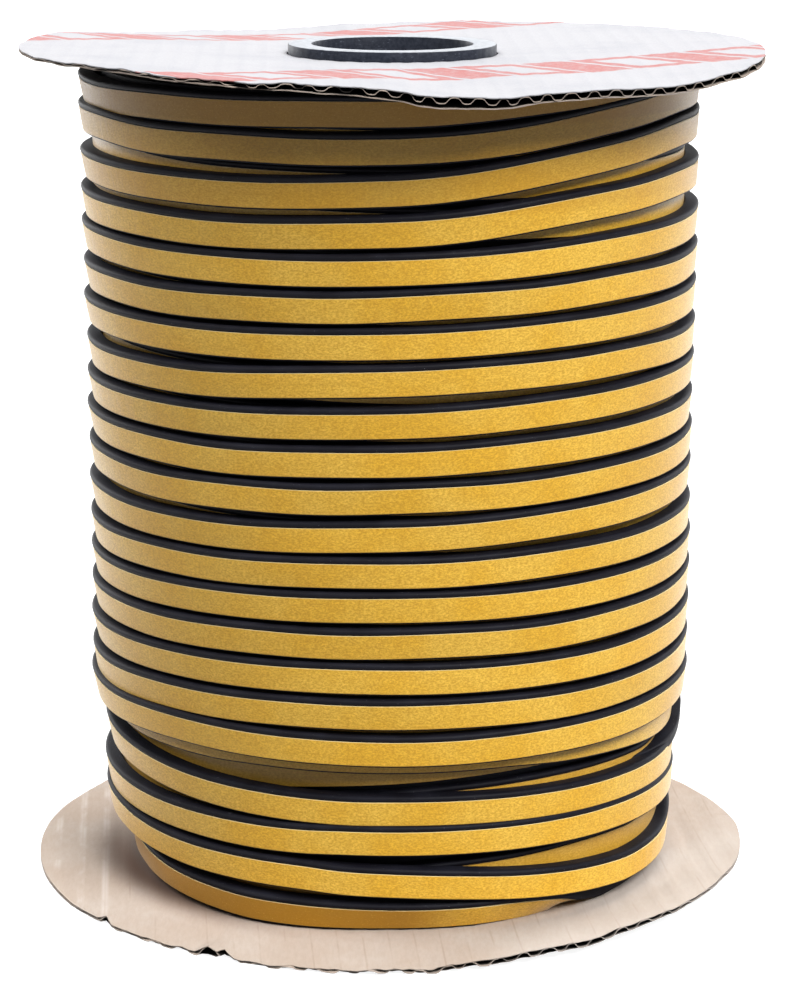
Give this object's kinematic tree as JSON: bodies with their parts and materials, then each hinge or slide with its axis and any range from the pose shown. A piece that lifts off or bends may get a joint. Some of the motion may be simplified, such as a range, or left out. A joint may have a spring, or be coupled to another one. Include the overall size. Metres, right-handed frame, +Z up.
{
  "type": "reel of self-adhesive seal strip",
  "caption": "Upright reel of foam-rubber seal strip with a paper liner, wound on a plastic tube between corrugated board discs.",
  "frame": {"origin": "centre of the bottom flange's underside, on the floor", "axes": "+Z up the reel's axis, -Y towards the front, where the strip's last turns show"},
  "size_m": [0.227, 0.227, 0.2575],
  "materials": {
    "tube_plastic": "scuffed satin",
    "kraft_board": "matt",
    "white_board": "matt coated",
    "foam_rubber": "satin",
    "liner_paper": "silicone-coated satin"
  },
  "bodies": {
    "root": {"core_tube": "tube_plastic", "bottom_flange": "kraft_board", "top_flange": "white_board", "seal_strip": "foam_rubber", "release_liner": "liner_paper"}
  },
  "joints": []
}
